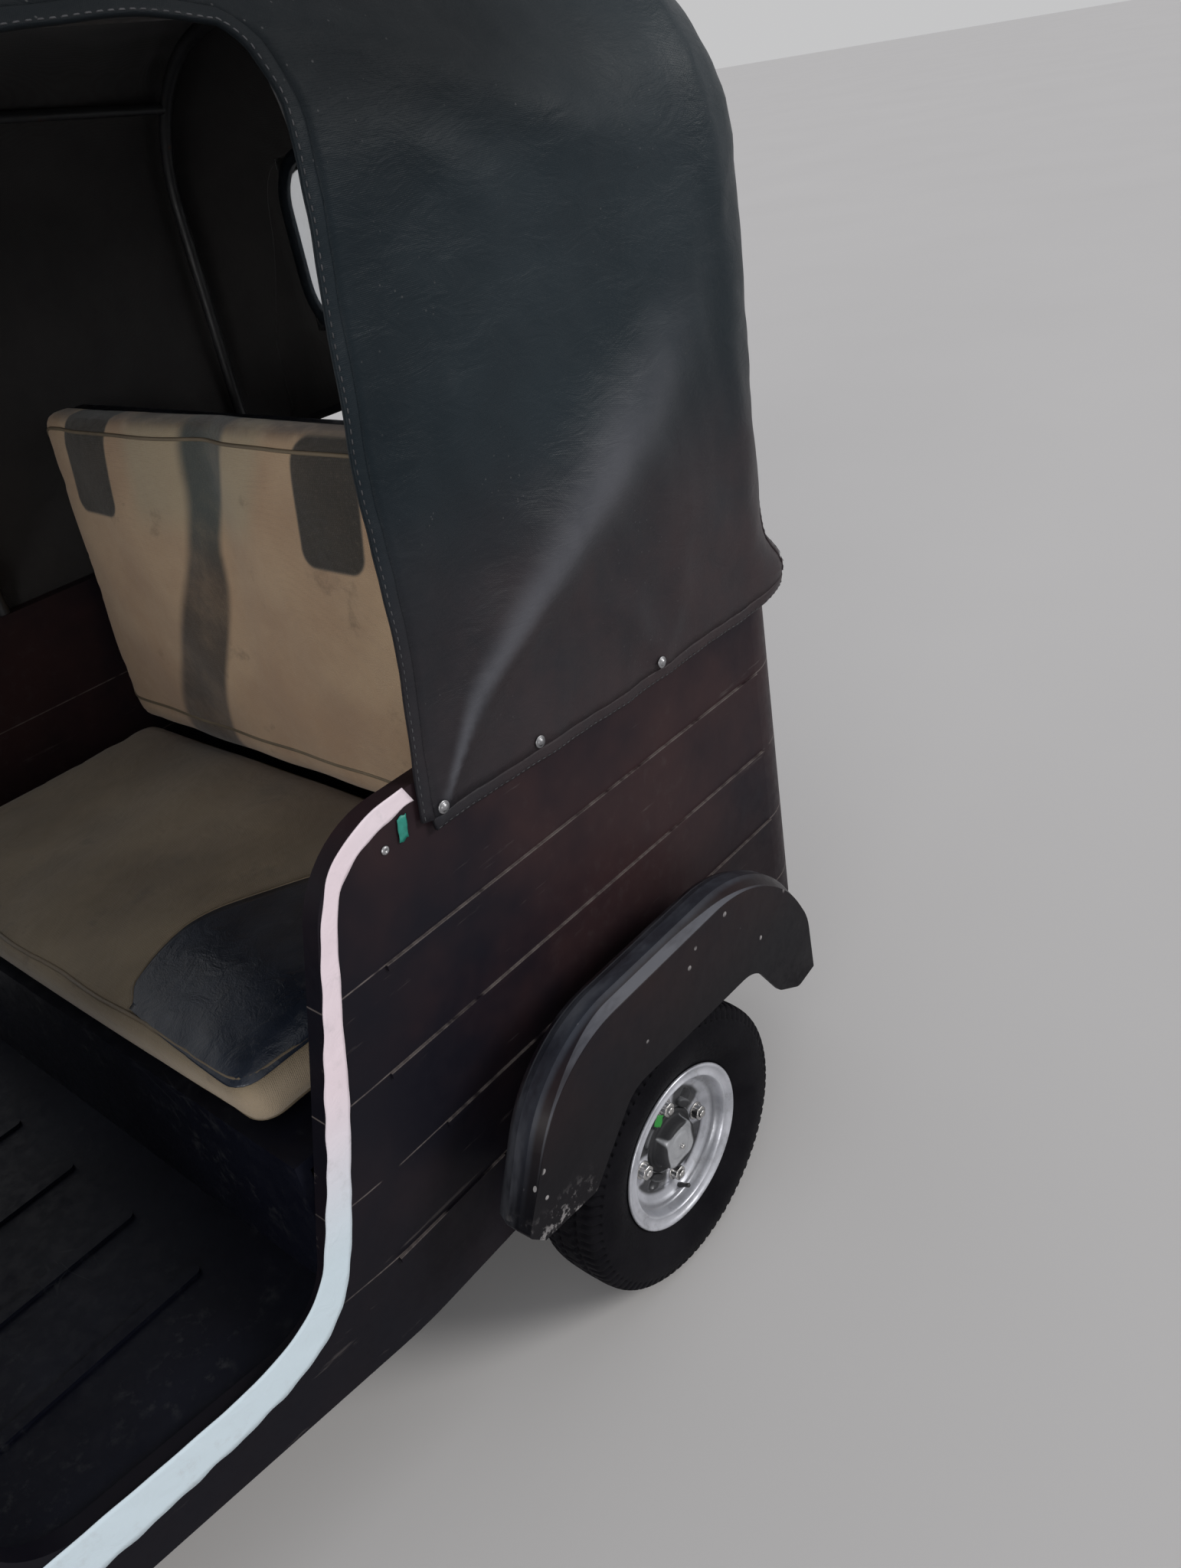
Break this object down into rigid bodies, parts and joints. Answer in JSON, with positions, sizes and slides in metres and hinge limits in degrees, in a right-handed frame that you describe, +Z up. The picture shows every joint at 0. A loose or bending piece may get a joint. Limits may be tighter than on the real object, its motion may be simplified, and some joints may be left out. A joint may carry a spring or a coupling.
{
  "type": "auto rickshaw",
  "caption": "Three-wheeled passenger auto rickshaw with open doorways, a canvas hood, a rear bench, handlebar steering, turning wheels and a hinged engine hatch.",
  "frame": {"origin": "on the ground, on the vehicle's centre line, 1.121 m behind the front axle", "axes": "+X to the vehicle's left, -Y towards its front, +Z up"},
  "size_m": [1.3, 2.792, 1.7048],
  "materials": {
    "body_paint": "dark aubergine-brown paint, semi-gloss, scratched",
    "floor_paint": "dark navy paint, dusty and worn",
    "frame_black": "black painted tube and plate",
    "steel": "plain steel",
    "canvas": "dark navy coated canvas",
    "seat_fabric": "khaki-beige woven cover",
    "glass": "clear glass",
    "clear_film": "clear flexible window film",
    "tyre": "black rubber",
    "rim_silver": "silver painted pressed steel",
    "hub_metal": "cast hub, drum and plated nuts",
    "engine_metal": "dull cast metal",
    "chrome": "bright plated bezel",
    "amber_lens": "amber lens",
    "red_lens": "red lens",
    "black_plastic": "black moulded plastic and rubber"
  },
  "bodies": {
    "body": {"side_panel_left": "body_paint", "side_panel_right": "body_paint", "rear_panel": "body_paint", "front_cowl": "body_paint", "windscreen_frame": "body_paint", "rear_mudguard_left": "body_paint", "rear_mudguard_right": "body_paint", "floor_pan": "floor_paint", "partition": "floor_paint", "seat_bulkhead": "floor_paint", "driver_seat_base": "floor_paint", "underframe": "frame_black", "hood_frame": "frame_black", "steering_head": "frame_black", "rear_arms": "frame_black", "brake_pedal": "frame_black", "rear_dampers": "steel", "drive_shafts": "steel", "silencer": "steel", "hood_canopy": "canvas", "bench_cushion": "seat_fabric", "bench_backrest": "seat_fabric", "driver_cushion": "seat_fabric", "driver_backrest": "seat_fabric", "windscreen_glass": "glass", "rear_window": "clear_film", "engine_block": "engine_metal", "headlamp": "chrome", "headlamp_lens": "glass", "front_indicators": "amber_lens", "tail_lamps": "red_lens", "dashboard": "black_plastic", "mirrors": "black_plastic"},
    "steering": {"steering_column": "frame_black", "handlebar": "steel", "handlebar_grips": "black_plastic", "fork_arm": "frame_black", "front_link": "steel", "front_damper": "steel", "front_mudguard": "body_paint"},
    "front_wheel": {"front_tyre": "tyre", "front_rim": "rim_silver", "front_hub": "hub_metal"},
    "rear_wheel_left": {"rear_tyre_left": "tyre", "rear_rim_left": "rim_silver", "rear_hub_left": "hub_metal"},
    "rear_wheel_right": {"rear_tyre_right": "tyre", "rear_rim_right": "rim_silver", "rear_hub_right": "hub_metal"},
    "engine_hatch": {"engine_hatch": "body_paint"}
  },
  "joints": [
    {"name": "steer", "type": "hinge", "parent": "body", "child": "steering", "pos_m": [0, -1.133, 0.205], "axis": [0, 0.3746, 0.9272], "range_deg": [-38, 38]},
    {"name": "front_wheel_spin", "type": "hinge", "parent": "steering", "child": "front_wheel", "pos_m": [0, -1.121, 0.205], "axis": [1, 0, 0], "continuous": true},
    {"name": "rear_wheel_left_spin", "type": "hinge", "parent": "body", "child": "rear_wheel_left", "pos_m": [0.575, 0.879, 0.205], "axis": [1, 0, 0], "continuous": true},
    {"name": "rear_wheel_right_spin", "type": "hinge", "parent": "body", "child": "rear_wheel_right", "pos_m": [-0.575, 0.879, 0.205], "axis": [1, 0, 0], "continuous": true},
    {"name": "engine_hatch_hinge", "type": "hinge", "parent": "body", "child": "engine_hatch", "pos_m": [0, 1.39, 0.766], "axis": [1, 0, 0], "range_deg": [0, 75]}
  ]
}
